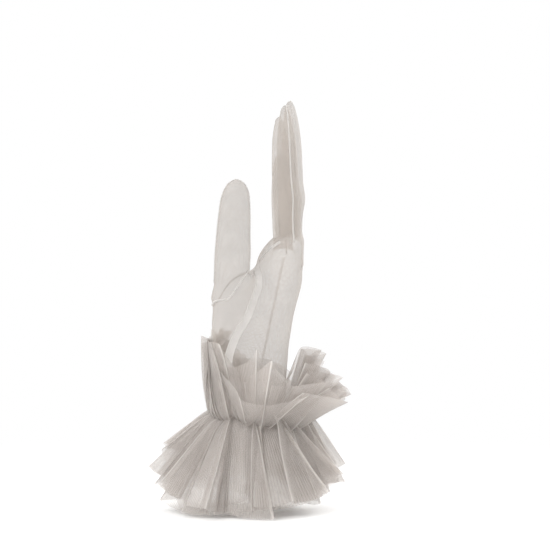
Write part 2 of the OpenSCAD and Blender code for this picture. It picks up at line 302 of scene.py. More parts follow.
def surface_net():
    """Vertices and quads where the field changes sign, open at the wrist."""
    low = np.array(GRID_LOW)
    count = np.ceil((np.array(GRID_HIGH) - low) / GRID).astype(int)
    axes = [low[i] + GRID * np.arange(count[i]) for i in range(3)]
    field = np.empty(count)
    for k, z in enumerate(axes[2]):
        gx, gy = np.meshgrid(axes[0], axes[1], indexing="ij")
        field[:, :, k] = glove_field(np.c_[gx.ravel(), gy.ravel(), np.full(gx.size, z)]).reshape(gx.shape)
    inside = field < 0
    cells = tuple(count - 1)
    filled = np.zeros(cells, int)
    for i, j, k in CORNERS:
        filled += inside[i : i + cells[0], j : j + cells[1], k : k + cells[2]]
    active = np.argwhere((filled > 0) & (filled < 8))
    index = np.full(cells, -1)
    index[tuple(active.T)] = np.arange(len(active))
    values = np.array([field[tuple((active + c).T)] for c in CORNERS])
    total, hits = np.zeros((len(active), 3)), np.zeros(len(active))
    for a, b in EDGES:
        crossing = (values[a] < 0) != (values[b] < 0)
        t = np.where(crossing, values[a] / np.where(crossing, values[a] - values[b], 1), 0)
        total += crossing[:, None] * (CORNERS[a] + t[:, None] * (CORNERS[b] - CORNERS[a]))
        hits += crossing
    points = low + GRID * (active + total / hits[:, None])
    quads = []
    for axis in range(3):
        u, v = (axis + 1) % 3, (axis + 2) % 3
        step = np.eye(3, dtype=int)
        base = tuple(slice(0, n - 1) if i == axis else slice(1, n - 1) for i, n in enumerate(count))
        ahead = tuple(slice(1, n) if i == axis else slice(1, n - 1) for i, n in enumerate(count))
        here, there = inside[base], inside[ahead]
        at = np.argwhere(here != there) + np.array([0 if i == axis else 1 for i in range(3)])
        leaves = here[here != there]
        ring = [index[tuple((at - s).T)] for s in (0 * step[u], step[u], step[u] + step[v], step[v])]
        ring = np.array(ring).T
        ring[~leaves] = ring[~leaves][:, ::-1]
        quads.append(ring[(ring >= 0).all(1)])
    return points, np.vstack(quads)


def neighbour_mean(values, quads, rounds=1):
    """Values averaged with their neighbours' round the quads' edges."""
    edges = np.vstack([quads[:, [i, (i + 1) % 4]] for i in range(4)])
    links = np.bincount(edges.ravel(), minlength=len(values))[:, None]
    for _ in range(rounds):
        total = np.zeros_like(values)
        np.add.at(total, edges[:, 0], values[edges[:, 1]])
        np.add.at(total, edges[:, 1], values[edges[:, 0]])
        values = 0.5 * values + 0.5 * total / links
    return values


def relax(points, quads, rounds=4):
    """Evens out the quads, keeping every vertex on the surface and the open edge at the wrist."""
    floor = points[:, 2] < HAND_FOOT + GRID
    for _ in range(rounds):
        moved = neighbour_mean(points, quads)
        moved[floor] = points[floor]
        points = settle(moved, 1)
    return points


surface, quads = surface_net()
surface = relax(settle(surface, 2), quads)
outward = unit(neighbour_mean(gradient(surface), quads, rounds=5))

# ---- Making objects ----------------------------------------------------------


def corner_vertices(mesh):
    """The vertex at each corner of a mesh's faces."""
    corners = np.zeros(len(mesh.loops), int)
    mesh.loops.foreach_get("vertex_index", corners)
    return corners


def add_mesh(name, points, faces, material, uv=None, attributes=None):
    """A smooth-shaded object from points in millimetres; uv is per vertex, in millimetres too."""
    mesh = bpy.data.meshes.new(name)
    mesh.from_pydata((np.asarray(points) * MM).tolist(), [], [[int(i) for i in face] for face in faces])
    mesh.polygons.foreach_set("use_smooth", np.ones(len(mesh.polygons), bool))
    if uv is not None:
        mesh.uv_layers.new(name="UVMap").data.foreach_set("uv", uv[corner_vertices(mesh)].ravel())
    for key, values in (attributes or {}).items():
        attribute = mesh.attributes.new(key, "FLOAT", "POINT")
        attribute.data.foreach_set("value", np.asarray(values, np.float32))
    mesh.materials.append(material)
    mesh.update()
    obj = bpy.data.objects.new(name, mesh)
    bpy.context.scene.collection.objects.link(obj)
    return obj


def grid_faces(rows, columns, loop=False, tube=False):
    """Quads between the neighbours in a grid of points, joined end to end or side to side if asked."""
    grid = np.arange(rows * columns).reshape(rows, columns)
    grid = np.pad(grid, ((0, int(loop)), (0, int(tube))), mode="wrap")
    return np.stack([grid[:-1, :-1], grid[:-1, 1:], grid[1:, 1:], grid[1:, :-1]], -1).reshape(-1, 4)


def sweep(path, across, up, width, height, sides, closed):
    """Points and faces of a rounded bar along a path: across and up are unit vectors at each point."""
    turn = np.linspace(0, 2 * math.pi, sides, endpoint=False)
    ring = np.cos(turn)[None, :, None] * across[:, None] * width / 2
    ring = ring + np.sin(turn)[None, :, None] * up[:, None] * height / 2
    points = (path[:, None] + ring).reshape(-1, 3)
    faces = grid_faces(len(path), sides, closed, True).tolist()
    if not closed:
        faces += [range(sides)[::-1], range(len(points) - sides, len(points))]
    return points, faces


def along(path, closed=False):
    """Distance along a path, and its unit direction at each point."""
    step = np.linalg.norm(np.diff(path, axis=0), axis=1)
    way = np.gradient(path, axis=0)
    if closed:
        way = np.roll(path, -1, 0) - np.roll(path, 1, 0)
    return np.concatenate([[0], np.cumsum(step)]), unit(way)


def resample(path, distance, fine, period=None):
    """A path's points, or what belongs to them, read at other distances along it."""
    return np.array([np.interp(fine, distance, column, period=period) for column in path.T]).T


# ---- Materials ---------------------------------------------------------------


class Nodes:
    """Short spelling for a material's node tree."""

    def __init__(self, name):
        self.material = bpy.data.materials.new(name)
        self.material.use_nodes = True
        self.tree = self.material.node_tree
        self.tree.nodes.clear()

    def add(self, kind, inputs=None, **settings):
        node = self.tree.nodes.new("ShaderNode" + kind)
        for key, value in settings.items():
            setattr(node, key, value)
        for key, value in (inputs or {}).items():
            if isinstance(value, bpy.types.NodeSocket):
                self.tree.links.new(value, node.inputs[key])
            else:
                node.inputs[key].default_value = value
        return node

    def math(self, operation, *values, clamp=False):
        node = self.add("Math", dict(enumerate(values)), operation=operation, use_clamp=clamp)
        return node.outputs[0]

    def ramp(self, value, low, high, start=0.0, end=1.0):
        inputs = {"Value": value, "From Min": low, "From Max": high, "To Min": start, "To Max": end}
        return self.add("MapRange", inputs, interpolation_type="SMOOTHSTEP").outputs["Result"]

    def blend(self, share, a, b):
        node = self.add("Mix", {0: share, 6: a, 7: b}, data_type="RGBA")
        return node.outputs[2]

    def finish(self, shader):
        self.add("OutputMaterial", {"Surface": shader})
        return self.material


MESH_W = 0.65  # width of one hole of the net, with its threads


def hexagons(n, uv):
    """A honeycomb of threads from three crossing waves: high on the threads, low in the holes."""
    waves = []
    size = 4 * math.pi / (math.sqrt(3) * MESH_W)
    for a in (0, math.radians(60), math.radians(120)):
        way = (math.cos(a) * size, math.sin(a) * size, 0)
        dot = n.add("VectorMath", {0: uv, 1: way}, operation="DOT_PRODUCT").outputs["Value"]
        waves.append(n.math("COSINE", dot))
    return n.math("MULTIPLY", n.math("ADD", n.math("ADD", waves[0], waves[1]), waves[2]), -1.0)


def net(name, colour, shade, solid, hole, edge, fold_highlight_colour=None, fold_solid=0.0):
    """Sheer net. colour and shade are its lightest and darkest tints, solid and hole how much a thread
    and a hole hide, and edge how much denser it looks seen along the cloth. Along a marked fold the net
    is denser by fold_solid, and the fold colour lays a painted highlight on it."""
    n = Nodes(name)
    uv = n.add("UVMap", uv_map="UVMap").outputs[0]
    thread = n.ramp(hexagons(n, uv), -0.35, 0.75)
    drift = n.add("TexNoise", {"Vector": uv, "Scale": 0.06, "Detail": 2.0}).outputs["Fac"]
    tint = n.blend(n.ramp(drift, 0.35, 0.65), colour, shade)
    solidity = n.ramp(thread, 0.0, 1.0, hole, solid)
    grazing = n.add("LayerWeight", {"Blend": 0.35}).outputs["Facing"]
    solidity = n.math("ADD", solidity, n.math("MULTIPLY", n.math("POWER", grazing, 2.5), edge), clamp=True)
    if fold_highlight_colour is not None:
        fold = n.add("Attribute", attribute_name="fold").outputs["Fac"]
        # The fold colour is a painted highlight along the crests; fold_solid is the real density of the
        # doubled net there.
        tint = n.blend(fold, tint, fold_highlight_colour)
        solidity = n.math("ADD", solidity, n.math("MULTIPLY", fold, fold_solid), clamp=True)
    bump = n.add("Bump", {"Height": thread, "Strength": 0.25, "Distance": 0.00015}).outputs[0]
    looks = {"Base Color": tint, "Roughness": 0.55, "Normal": bump, "Specular IOR Level": 0.3}
    front = n.add("BsdfPrincipled", {**looks, "Sheen Weight": 0.25, "Sheen Roughness": 0.4}).outputs[0]
    through = n.add("BsdfTranslucent", {"Color": tint}).outputs[0]
    cloth = n.add("MixShader", {0: 0.4, 1: front, 2: through}).outputs[0]
    clear = n.add("BsdfTransparent").outputs[0]
    return n.finish(n.add("MixShader", {0: solidity, 1: clear, 2: cloth}).outputs[0])


def thread_material(name, colour, shade, twist):
    """Twisted sewing thread: plies that run round it, with painted shade in the grooves between them."""
    n = Nodes(name)
    uv = n.add("UVMap", uv_map="UVMap").outputs[0]
    parts = n.add("SeparateXYZ", {0: uv})
    round_it = n.math("MULTIPLY", parts.outputs[1], 6.283)  # v runs once round the thread
    lay = n.math("ADD", n.math("MULTIPLY", parts.outputs[0], twist), round_it)
    ply = n.ramp(n.math("SINE", lay), -0.8, 0.8)
    # Darker where the ply wave is low, in the grooves between the plies: painted shade.
    tint = n.blend(ply, shade, colour)
    bump = n.add("Bump", {"Height": ply, "Strength": 0.5, "Distance": 0.00008}).outputs[0]
    settings = {"Base Color": tint, "Roughness": 0.5, "Normal": bump, "Sheen Weight": 0.3}
    return n.finish(n.add("BsdfPrincipled", settings).outputs[0])


def elastic_material(ribs=75.0, lines=3400.0):
    """Woven elastic: ribs across the band, counted by the radian, and finer lines along it."""
    n = Nodes("elastic_weave")
    place = n.add("TexCoord").outputs["Object"]
    parts = n.add("SeparateXYZ", {0: place})
    turn = n.math("ARCTAN2", parts.outputs[1], parts.outputs[0])
    rib = n.math("ABSOLUTE", n.math("SINE", n.math("MULTIPLY", turn, ribs)))
    line = n.math("ABSOLUTE", n.math("SINE", n.math("MULTIPLY", parts.outputs[2], lines)))
    weave = n.math("ADD", n.math("MULTIPLY", rib, 0.6), n.math("MULTIPLY", line, 0.4))
    # Darker where the weave is low, between its ribs and lines: painted shade in the grooves.
    tint = n.blend(weave, (0.42, 0.4, 0.38, 1), (0.66, 0.64, 0.61, 1))
    bump = n.add("Bump", {"Height": weave, "Strength": 0.6, "Distance": 0.0002}).outputs[0]
    settings = {"Base Color": tint, "Roughness": 0.75, "Normal": bump, "Sheen Weight": 0.2}
    return n.finish(n.add("BsdfPrincipled", settings).outputs[0])


HAND_NET = net("hand_net", (0.48, 0.435, 0.395, 1), (0.43, 0.39, 0.355, 1), solid=0.58, hole=0.22, edge=0.5)
SEAM_NET = net("seam_net", (0.8, 0.775, 0.755, 1), (0.74, 0.72, 0.7, 1), solid=0.8, hole=0.48, edge=0.2)
# The ruffle's fold colour is a painted highlight along its pleat crests.
RUFFLE_NET = net(
    "ruffle_net", (0.6, 0.56, 0.53, 1), (0.54, 0.5, 0.47, 1), solid=0.6, hole=0.34, edge=0.4,
    fold_highlight_colour=(0.72, 0.69, 0.665, 1), fold_solid=0.4,
)
# The thread's second, darker tint is painted shade in the grooves between its plies.
THREAD = thread_material("sewing_thread", (0.68, 0.66, 0.63, 1), (0.52, 0.5, 0.47, 1), twist=9.0)
ELASTIC = elastic_material()

# ---- Cutting the surface into the glove's pattern pieces ---------------------

THUMB_HOLE = (2.0, 105.0)  # x and z of the thumb hole's highest point, between thumb and palm
THUMB_HOLE_SLOPE = 1.5
BEND_LENGTH = {**dict.fromkeys(DIGITS, 20.0), "thumb": 26.0, "little": 18.0}
SEAM_BACK_SHARE = 0.3  # a finger's seam lies this share of its half depth behind its middle
SEAM_LEAVES_CAD = 11.0  # how far below the thumb hole's top the seam stops following the CAD seam
SEAM_OVER_HOLE = ((-2, THUMB_HOLE[0] + 0.8), (4, 8.5), (11, 14.5))  # height over the hole's top, and x
SEAM_TOP = 4  # how far over the index finger's root the seam ends
SEAM_SMOOTH = 2.5
OWN_REACH = 4  # a digit's own net is no farther from its tube than this


def digit_axis(digit, z):
    """Centre x and y and half sizes in x and y of a digit's tube at a height."""
    profile = profiles[digit]
    return [np.interp(z, profile["z"], row) for row in profile["rows"].T]


def thumb_side_line():
    """Height and x of the thumb side's seam: up the CAD seam, past the thumb hole, to the index finger."""
    points, triangles = node_points("thumb_side_seam")
    heights = np.arange(HAND_FOOT + 2, THUMB_HOLE[1] - SEAM_LEAVES_CAD, 2.0)
    middle = [np.mean([corner[0] for corner in slice_box(points, triangles, z)]) for z in heights]
    top = FOLD["index"][2] + SEAM_TOP
    ax, _, half_x, _ = digit_axis("index", top)
    heights = np.append(heights, [THUMB_HOLE[1] + rise for rise, _ in SEAM_OVER_HOLE] + [top])
    middle = np.append(middle, [x for _, x in SEAM_OVER_HOLE] + [ax + SEAM_BACK_SHARE * half_x])
    fine = np.arange(heights[0], heights[-1], 1.0)
    return fine, smooth_rows(np.interp(fine, heights, middle), SEAM_SMOOTH)


thumb_line_z, thumb_line_x = thumb_side_line()


def split_faces():
    """The piece that each quad of the surface belongs to, as a name."""
    centre = surface[quads].mean(1)
    fields = np.array([digit_field(centre, d) for d in DIGITS])
    nearest = fields.argmin(0)
    x0, y0 = hand_axis(centre[:, 2])
    border = np.where(centre[:, 1] < y0, np.interp(centre[:, 2], thumb_line_z, thumb_line_x), x0)
    names = np.where(centre[:, 0] > border, "back_panel", "palm_panel")
    names = names.astype("<U20")
    hole = THUMB_HOLE[1] - THUMB_HOLE_SLOPE * (THUMB_HOLE[0] - centre[:, 0])
    for i, digit in enumerate(DIGITS):
        cut = hole if digit == "thumb" else FOLD[digit][2]
        mine = (nearest == i) & (centre[:, 2] > cut) & (fields[i] < OWN_REACH)
        ax, ay, half_x, _ = digit_axis(digit, centre[:, 2])
        first, second = side_names(digit)
        if digit == "thumb":
            is_first = centre[:, 1] > ay
        else:
            is_first = centre[:, 0] < ax + SEAM_BACK_SHARE * half_x
        names[mine & is_first] = first
        names[mine & ~is_first] = second
    return names


def unwrap(obj):
    """Flattens a piece as its maker would cut it, with uv in millimetres and v up the glove.
    Gives the pattern's width and length, and its area."""
    bpy.context.view_layer.objects.active = obj
    obj.select_set(True)
    obj.data.uv_layers.new(name="UVMap")
    bpy.ops.object.mode_set(mode="EDIT")
    bpy.ops.mesh.select_all(action="SELECT")
    bpy.ops.uv.unwrap(method="MINIMUM_STRETCH", iterations=3, margin=0)
    bpy.ops.object.mode_set(mode="OBJECT")
    obj.select_set(False)
    mesh = obj.data
    uv = np.zeros(len(mesh.loops) * 2)
    mesh.uv_layers[0].data.foreach_get("uv", uv)
    uv = uv.reshape(-1, 2)
    quad_uv = uv.reshape(-1, 4, 2)
    one, two = quad_uv[:, 2] - quad_uv[:, 0], quad_uv[:, 3] - quad_uv[:, 1]
    flat_area = np.abs(one[:, 0] * two[:, 1] - one[:, 1] * two[:, 0]).sum() / 2
    area = sum(p.area for p in mesh.polygons) / MM**2
    height = np.array([v.co.z for v in mesh.vertices])[corner_vertices(mesh)] / MM
    slope = np.linalg.lstsq(np.c_[uv, np.ones(len(uv))], height, rcond=None)[0][:2]
    up = slope / np.linalg.norm(slope)
    uv = uv @ np.array([[up[1], up[0]], [-up[0], up[1]]]) * math.sqrt(area / flat_area)
    uv -= uv.min(0)
    mesh.uv_layers[0].data.foreach_set("uv", uv.ravel())
    return uv.max(0), area


def bend(obj):
    """Bakes a digit's piece's transform into its mesh."""
    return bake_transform(obj)


piece_of = split_faces()
bend_start = {}  # where each digit's net first stands free of the hand all round
for digit in DIGITS:
    mine = np.isin(piece_of, side_names(digit))
    shared = np.intersect1d(quads[mine], quads[~mine])
    bend_start[digit] = surface[shared, 2].max() + 0.5

for name in sorted(set(piece_of)):
    faces = quads[piece_of == name]
    used, local = np.unique(faces, return_inverse=True)
    obj = add_mesh(name + "_net", surface[used], local.reshape(-1, 4), HAND_NET)
    size, area = unwrap(obj)
    obj.data.normals_split_custom_set_from_vertices(outward[used].tolist())
    digit = name.split("_")[0]
    if digit in DIGITS:
        bend(obj)
    else:
        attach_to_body(obj, "hand")
    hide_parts(name)

# ---- Seams -------------------------------------------------------------------


MARCH_STEP = 0.5
HAND_REACH = 75.0  # farther than any of the hand's surface is from its centre line
DIGIT_REACH = 20.0
FREE_MARGIN = 3.5
PATH_STEP, PATH_SMOOTH = 1.0, 1.5
BAND_COLUMNS = 6
BAND_LIFT = 0.3  # how far a flat seam stands over the net
EDGE_LIFT, EDGE_THICK = 0.05, 0.4
STITCH_LIFT, THREAD_LIFT, FINE_THREAD = 0.1, 0.12, 0.22
SEAM_BELOW = {**dict.fromkeys(DIGITS, 5), "thumb": 10}  # a seam starts this far below where its net is free


def march(starts, ways, reach, inwards=False):
    """Where each way first leaves the glove's surface, or meets it from outside."""
    steps = np.arange(MARCH_STEP, reach, MARCH_STEP)
    cloud = starts[:, None] + ways[:, None] * steps[None, :, None]
    values = glove_field(cloud.reshape(-1, 3)).reshape(len(starts), -1)
    values = -values if inwards else values
    first = np.maximum((values > 0).argmax(1), 1)
    rows = np.arange(len(starts))
    a, b = values[rows, first - 1], values[rows, first]
    t = steps[first - 1] + MARCH_STEP * a / np.where(a - b == 0, 1, a - b)
    return starts + ways * t[:, None]


def level(angle):
    """Level unit vectors at angles round the wrist."""
    return np.c_[np.cos(angle), np.sin(angle), 0 * angle]


def on_hand(angle_deg, z):
    """The line up the hand at one angle round it."""
    x0, y0 = hand_axis(z)
    a = np.radians(np.full(len(z), angle_deg))
    return march(np.c_[x0, y0, z], level(a), HAND_REACH)


def on_digit(digit, angle_deg, z):
    """The line up a digit at one angle round it, from where the digit stands free of the hand."""
    x0, y0, half_x, half_y = digit_axis(digit, z)
    a = np.radians(np.full(len(z), float(angle_deg)))
    starts = np.c_[x0, y0, z]
    points = march(starts, level(a), DIGIT_REACH)
    free = np.linalg.norm(points - starts, axis=1) < np.maximum(half_x, half_y) + FREE_MARGIN
    return points[free]


def lifted(points, height):
    """Points moved out from the glove, and the way out at each."""
    normal = unit(gradient(points))
    return points + normal * height, normal


def attach(obj, node=None, digit=None):
    """Puts a piece of a seam on the hand's body, or bakes a digit's piece in place, and hides its CAD node if
    it has one.
    """
    if digit:
        bend(obj)
    else:
        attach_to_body(obj, "hand")
    if node:
        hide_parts(node)


def band(seam, path, widths):
    """A seam's flat strip of net along a path on the surface. Gives its rows of points."""
    columns = np.linspace(-0.5, 0.5, BAND_COLUMNS)
    distance, way = along(path)
    _, normal = lifted(path, 0)
    across = unit(np.cross(normal, way))
    rows = [lifted(settle(path + across * (widths * share)[:, None]), BAND_LIFT)[0] for share in columns]
    points = np.array(rows).transpose(1, 0, 2)
    uv = np.stack(np.broadcast_arrays(widths[:, None] * columns, distance[:, None]), -1).reshape(-1, 2)
    faces = grid_faces(len(path), len(columns))
    attach(add_mesh(seam + "_band", points.reshape(-1, 3), faces, SEAM_NET, uv), seam)
    return points


def cord_piece(name, path, normal, width, height, material, closed=False, sides=8):
    """A rounded bar along a path, for a folded edge or a thread: u runs along it and v round it."""
    distance, way = along(path, closed)
    across = unit(np.cross(way, normal))
    points, faces = sweep(path, across, normal, width, height, sides, closed)
    place = np.broadcast_arrays(distance[: len(path), None], np.arange(sides) / sides)
    return add_mesh(name, points, faces, material, np.stack(place, -1).reshape(-1, 2))


def stitches(seam, path, normal, thick=0.28, digit=None, stitch=2.0, rise=0.22):
    """A seam's sewn line: one thread that rises over the cloth and dips into it once a stitch."""
    distance, _ = along(path)
    fine = np.arange(0, distance[-1], stitch / 6)
    away = resample(normal, distance, fine)
    height = THREAD_LIFT + rise * np.sin(2 * math.pi * fine / stitch)
    place = resample(path, distance, fine) + away * height[:, None]
    attach(cord_piece(seam + "_stitches", place, away, thick, thick, THREAD), digit=digit)


def thumb_side_seam(width=4.6, top_width=1.2, taper=7.0):
    """The wide band of turned net on the thumb side, narrow past the thumb hole, with its two edges."""
    z = np.arange(thumb_line_z[0], thumb_line_z[-1] - 2, PATH_STEP)
    starts = np.c_[np.interp(z, thumb_line_z, thumb_line_x), np.full(len(z), -HAND_REACH), z]
    path = march(starts, np.tile([0.0, 1.0, 0.0], (len(z), 1)), HAND_REACH, inwards=True)
    path = settle(smooth_rows(path, PATH_SMOOTH))
    past_hole = np.clip((z - THUMB_HOLE[1] + 6) / taper, 0, 1)
    rows = band("thumb_side_seam", path, width + (top_width - width) * past_hole)
    for side, column, edge_width in (("front", 0, 0.5), ("rear", -1, 0.9)):
        edge, normal = lifted(rows[:, column], EDGE_LIFT)
        name = f"thumb_side_seam_edge_{side}"
        attach(cord_piece(name, edge, normal, edge_width, EDGE_THICK, SEAM_NET))
    stitches("thumb_side_seam", *lifted(rows[:, 4], STITCH_LIFT))


def little_side_seam(angle=90.0, width=1.8):
    """The narrow flat seam on the little finger's side."""
    z = np.arange(HAND_FOOT + 1.5, FOLD["little"][2] + 2, PATH_STEP)
    path = settle(smooth_rows(on_hand(angle, z), PATH_SMOOTH))
    rows = band("little_side_seam", path, np.full(len(z), width))
    stitches("little_side_seam", *lifted(rows[:, 3], STITCH_LIFT))


def thumb_hole_seam(count=150, smooth=4.0, lift=0.15, width=1.2):
    """The closed fold where the thumb is set into the palm."""
    mine = np.isin(piece_of, side_names("thumb"))
    shared = surface[np.intersect1d(quads[mine], quads[~mine])]
    middle = shared.mean(0)
    turn = np.arctan2(shared[:, 1] - middle[1], shared[:, 0] - middle[0])
    order = np.argsort(turn)
    even = np.linspace(-math.pi, math.pi, count, endpoint=False)
    loop = resample(shared[order], turn[order], even, period=2 * math.pi)
    path, normal = lifted(settle(smooth_rows(loop, smooth, wrap=True)), lift)
    attach(cord_piece("thumb_hole_fold", path, normal, width, EDGE_THICK, SEAM_NET, closed=True))
    path, normal = np.vstack([path, path[:1]]), np.vstack([normal, normal[:1]])
    stitches("thumb_hole", path + normal * 0.2, normal, FINE_THREAD)


def digit_seam(digit, width=1.1, thick=0.5, tip_clear=1.2, tip_lift=0.3):
    """A finger's or the thumb's seam: up one side, over the tip and down the other."""
    z = np.arange(bend_start[digit] - SEAM_BELOW[digit], profiles[digit]["tip"] - tip_clear, PATH_STEP)
    shift = 0 if digit == "thumb" else math.degrees(math.asin(SEAM_BACK_SHARE))
    first, second = (0, 180) if digit == "thumb" else (-90 + shift, 90 - shift)
    one = on_digit(digit, first, z)
    two = on_digit(digit, second, z)
    top = (one[-1] + two[-1]) / 2
    top[2] = profiles[digit]["tip"] + tip_lift
    path = np.vstack([one, top[None], two[::-1]])
    distance, _ = along(path)
    path = resample(path, distance, np.linspace(0, distance[-1], int(distance[-1])))
    path, normal = lifted(smooth_rows(path, 1.0), 0.1)
    name = f"{digit}_seam"
    attach(cord_piece(name + "_fold", path, normal, width, thick, SEAM_NET), name, digit)
    stitches(name, *lifted(path, 0.2), FINE_THREAD, digit)


thumb_side_seam()
little_side_seam()
thumb_hole_seam()
for digit in DIGITS:
    digit_seam(digit)

# ---- Ruffle strips -----------------------------------------------------------

_, waist_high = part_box("gathering_thread")
THREAD_R = waist_high[0] / MM
WAIST_R = THREAD_R - 0.6
INNERMOST_IN, LAYER_STEP = 2.6, 0.8  # how far in the first strip is gathered, and the next ones farther out
INNERMOST_GAP, LAYER_GAP = 0.6, 0.4  # how far they stay off the glove
PLEAT_W = 34.0
ROWS = np.concatenate([[0, 0.012, 0.03, 0.055, 0.085, 0.12, 0.16], np.linspace(0.21, 1, 19)])
STEPS = 30  # points across a pleat

# Each row is an angle round the wrist, in degrees from the back of the hand towards the little finger's
# side, the strip's lean out from the vertical there, in degrees, and its length, in millimetres.
UP = {
    "inner": [
        (4, 34, 29), (12, 19, 54), (25, 19, 55), (33, 32, 33), (50, 10, 38), (95, 4, 42), (135, -3, 50),
        (160, -8, 54), (185, -10, 58), (205, -10, 60), (225, -7, 57), (243, 0, 50), (256, 6, 38),
        (266, 11, 42), (277, 12, 48), (288, 15, 40), (300, 17, 36), (315, 26, 33), (332, 40, 39),
        (352, 36, 48),
    ],
    "middle": [
        (3, 36, 28), (12, 20, 51), (24, 20, 52), (31, 50, 34), (60, 42, 32), (95, 14, 40), (135, 2, 50),
        (165, -5, 54), (190, -7, 57), (210, -7, 58), (230, -4, 54), (245, 5, 46), (260, 14, 36),
        (272, 15, 38), (284, 15, 42), (296, 20, 40), (310, 38, 39), (328, 43, 45), (342, 38, 51),
        (355, 40, 48),
    ],
    "outer": [
        (0, 54, 44), (30, 58, 40), (60, 52, 35), (95, 26, 42), (135, 8, 50), (165, -1, 52),
        (190, -3, 54), (210, -3, 55), (230, 2, 50), (245, 16, 40), (260, 38, 30), (275, 50, 25),
        (290, 50, 27), (305, 52, 36), (325, 57, 43), (345, 60, 42),
    ],
}
DOWN = {
    "inner": [
        (0, 20, 58), (45, 20, 58), (90, 18, 58), (135, 26, 58), (165, 32, 59), (180, 33, 59),
        (195, 30, 58), (205, 26, 60), (225, 20, 63), (245, 11, 60), (258, 3, 58), (270, 3, 58),
        (283, 6, 59), (300, 10, 60), (325, 19, 58),
    ],
    "middle": [
        (0, 28, 54), (45, 27, 54), (90, 24, 56), (135, 32, 55), (165, 38, 56), (180, 40, 57),
        (200, 34, 60), (225, 24, 63), (245, 14, 60), (258, 9, 58), (270, 9, 58), (283, 12, 58),
        (300, 17, 58), (325, 25, 56),
    ],
    "outer": [
        (0, 34, 50), (45, 33, 51), (90, 30, 53), (135, 42, 46), (165, 53, 42), (180, 57, 39),
        (200, 44, 52), (225, 28, 62), (245, 19, 60), (258, 15, 58), (270, 14, 58), (283, 17, 58),
        (300, 21, 58), (325, 29, 55),
    ],
}
TABLE_STEP, TABLE_SMOOTH = 2.0, 1.6
# Degrees that the pleats swing round between waist and hem, and the angle they part at.
SWING = {1: (24, 273), -1: (15, 260)}
# Places round the wrist that differ from the rest: the middle and the spread, in degrees.
FLAPS = (281, 24)  # over the thumb side the upper pleats stand as pointed flaps, in better order
TUFT = (18, 20)  # at the back the inner and the middle strip are bunched into a narrow tuft
PRESSED = (190, 40)  # at the palm's side the upper pleats lie close together
HOOK_OVER = (302, 32)  # the upper gathers hook down over the lower ones
HOOK_UNDER = (256, 24)  # the lower gathers hook up over the upper ones
FULLEST = 345  # the gathers are fullest at this angle
# Sizes of the random changes along a strip: pleat by pleat, and over several pleats.
PHASE_VARY = 0.14  # of a pleat
HEM_VARY, HEM_DRIFT = 4.5, 4.0  # degrees
KNIFE_VARY, KNIFE_DRIFT = 1.5, 1.9  # millimetres that a fold lies over to one side
LEAN_VARY, LEAN_DRIFT = 3.5, 2.5  # degrees
LENGTH_VARY, LENGTH_DRIFT = 0.03, 0.03  # of the length
DEPTH_VARY, POINT_VARY = 0.25, 0.6
START_VARY, PUFF_VARY = 16, 1.0  # degrees, and millimetres
FLAP_CALM = 0.9  # how much of them the flaps lose
# The pleats' shape.
SHARP = 0.96  # 0 is a smooth wave, 1 a fold with straight sides
POINT, FLAP_POINT = 0.03, 0.17  # how much longer a crest is than the middle, as a share
PUFF = 4.4  # millimetres over which a strip turns up out of the gathers
START_LEAN = 94  # degrees from the vertical that a strip leaves the thread at
HOOK_LEAN = 24
UPPER_CURL, UPPER_CURL_IN, LOWER_CURL_IN = 14, 5, 6  # degrees from waist to hem
CREST_CURL = 5
WAIST_DEPTH, PLEAT_DEPTH, HEM_DEPTH = 0.35, 4.6, 1.0  # half depths in millimetres, added up
OPENS_OVER = 3.2
BULGE, CRUMPLE = 0.8, 0.9  # over the gathers
TUFT_CALM = 0.8
CREASE_FROM, CREASE_WIDTH = 0.95, 0.05  # how near its crest a fold is marked, as denser net with a painted highlight
WAIST_RISE = 5.0  # how much higher the gathers sit on the palm's side


def waist_height(turn):
    """Height of the gathers at an angle round the wrist."""
    uneven = 1.1 * np.sin(3 * turn + 0.5) + 0.7 * np.sin(7 * turn + 2)
    return WAIST_RISE * np.maximum(0, -np.cos(turn)) ** 2 + uneven


def table_at(table, degrees, column):
    """A smoothed column of a strip's table, read at angles round the wrist."""
    rows = np.array(table, float)
    fine = np.arange(0, 360, TABLE_STEP)
    values = np.interp(fine, rows[:, 0], rows[:, column], period=360)
    values = smooth_rows(values, TABLE_SMOOTH, wrap=True)
    return np.interp(degrees % 360, fine, values, period=360)


def wander(rng, count, u, size):
    """A smooth random value round the strip, with count swings."""
    values = rng.normal(0, size, count)
    place = (u % 1) * count
    i = place.astype(int) % count
    t = place - np.floor(place)
    t = t * t * (3 - 2 * t)
    return values[i] * (1 - t) + values[(i + 1) % count] * t


